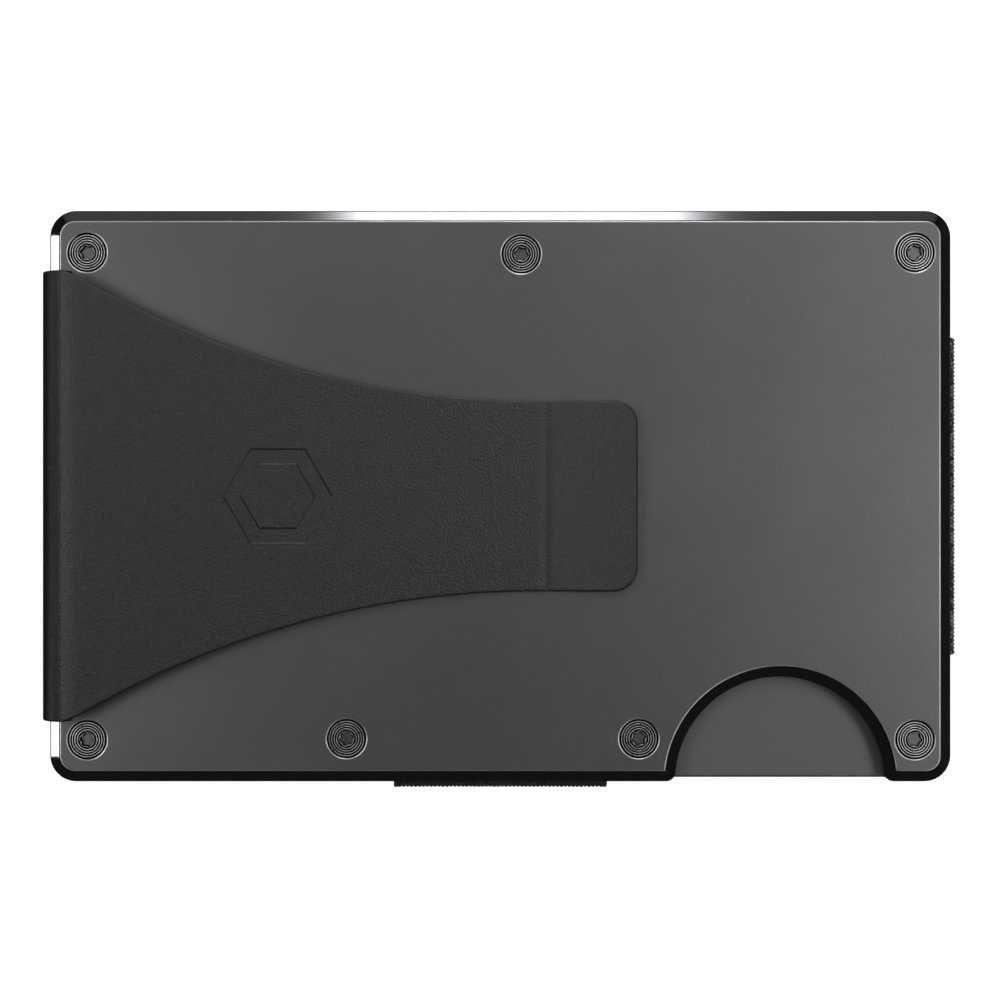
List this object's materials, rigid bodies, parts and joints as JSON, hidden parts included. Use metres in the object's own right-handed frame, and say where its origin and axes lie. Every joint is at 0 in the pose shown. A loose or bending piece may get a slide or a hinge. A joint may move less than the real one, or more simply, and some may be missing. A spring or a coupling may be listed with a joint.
{
  "type": "minimalist wallet",
  "caption": "Slim card wallet: two screwed metal plate halves drawn together by woven elastic, with a thumb notch in one edge and a sprung money clip across the front.",
  "frame": {"origin": "centre of the rear face, which the wallet rests on", "axes": "+X along the length, away from the clip's bend; +Y towards the open edge where cards go in; +Z out of the front, towards the clip"},
  "size_m": [0.0876, 0.0552, 0.0099],
  "materials": {
    "anodised_plate": "fine bead blast, dark grey anodised, with a polished chamfer",
    "card_plate": "satin grey anodised",
    "webbing": "woven elastic",
    "clip_coat": "fine black powder coat over spring steel",
    "screw_steel": "turned, blackened steel"
  },
  "bodies": {
    "rear": {"rear_outer_plate": "anodised_plate", "rear_inner_plate": "card_plate", "elastic_band": "webbing", "elastic_strap": "webbing", "rear_screw_1": "screw_steel", "rear_screw_2": "screw_steel", "rear_screw_3": "screw_steel", "rear_screw_4": "screw_steel", "rear_screw_5": "screw_steel", "rear_screw_6": "screw_steel", "rear_screw_7": "screw_steel"},
    "front": {"front_outer_plate": "anodised_plate", "front_inner_plate": "card_plate", "clip_base": "clip_coat", "front_screw_1": "screw_steel", "front_screw_2": "screw_steel", "front_screw_3": "screw_steel", "front_screw_4": "screw_steel", "front_screw_5": "screw_steel", "front_screw_6": "screw_steel", "front_screw_7": "screw_steel"},
    "clip": {"clip_leaf": "clip_coat"}
  },
  "joints": [
    {"name": "card_gap", "type": "slide", "parent": "rear", "child": "front", "axis": [0, 0, 1], "range_m": [0, 0.0092], "stiffness_N_per_m": 800, "springref_m": -0.004, "deforming": ["elastic_band", "elastic_strap"]},
    {"name": "clip_flex", "type": "hinge", "parent": "front", "child": "clip", "pos_m": [-0.0406, 0, 0.00725], "axis": [0, -1, 0], "range_deg": [0, 6], "stiffness_Nm_per_rad": 1, "springref_deg": -2.86}
  ]
}
